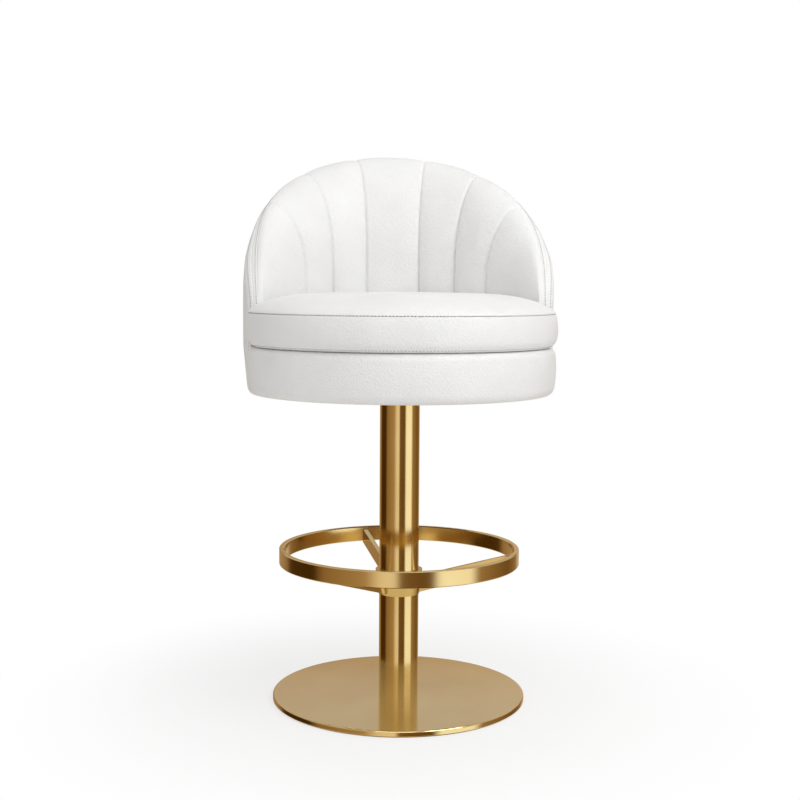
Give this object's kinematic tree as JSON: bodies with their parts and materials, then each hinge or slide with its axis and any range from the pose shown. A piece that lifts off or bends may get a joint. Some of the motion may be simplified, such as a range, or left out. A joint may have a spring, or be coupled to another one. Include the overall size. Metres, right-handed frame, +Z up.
{
  "type": "swivel bar stool",
  "caption": "Swivel bar stool with a channelled tub seat on a round-based column, with a fixed ring footrest on three sloping spokes.",
  "frame": {"origin": "on the floor, on the axis of the column, under the middle of the base", "axes": "+Z up along the column; the front of the seat faces -Y at rest; +X to the sitter's left"},
  "size_m": [0.586, 0.586, 1.0596],
  "materials": {
    "brushed_brass": "satin",
    "zinc_steel": "satin",
    "black_rubber": "matte",
    "black_nylon": "matte",
    "bronze": "satin",
    "plywood": "matte",
    "black_cloth": "matte",
    "white_leather": "satin",
    "seat_foam": "matte"
  },
  "bodies": {
    "stand": {"floor_pad": "black_rubber", "base_plate": "brushed_brass", "base_screws": "zinc_steel", "column_foot": "zinc_steel", "column_tube": "brushed_brass", "column_head": "zinc_steel", "upper_bush": "black_nylon", "lower_bush": "black_nylon", "thrust_washer": "bronze", "footrest_hub": "brushed_brass", "footrest_ring": "brushed_brass", "footrest_spoke_1": "brushed_brass", "footrest_spoke_2": "brushed_brass", "footrest_spoke_3": "brushed_brass", "footrest_set_screws": "zinc_steel"},
    "seat": {"swivel_spindle": "zinc_steel", "retaining_ring": "zinc_steel", "seat_plate": "zinc_steel", "plate_bolts": "zinc_steel", "tee_nuts": "zinc_steel", "drum_base_board": "plywood", "drum_hoop": "plywood", "drum_top_board": "plywood", "dust_cover": "black_cloth", "drum_front_cover": "white_leather", "cushion_board": "plywood", "cushion_screws": "zinc_steel", "cushion_foam": "seat_foam", "cushion_boxing": "white_leather", "cushion_top_cover": "white_leather", "back_shell": "plywood", "shell_screws": "zinc_steel", "outer_back_cover": "white_leather", "rim_band": "white_leather", "back_channel_1": "white_leather", "back_channel_2": "white_leather", "back_channel_3": "white_leather", "back_channel_4": "white_leather", "back_channel_5": "white_leather", "back_channel_6": "white_leather", "back_channel_7": "white_leather"}
  },
  "joints": [
    {"name": "seat_swivel", "type": "hinge", "parent": "stand", "child": "seat", "pos_m": [0, 0, 0.5871], "axis": [0, 0, 1], "continuous": true}
  ]
}
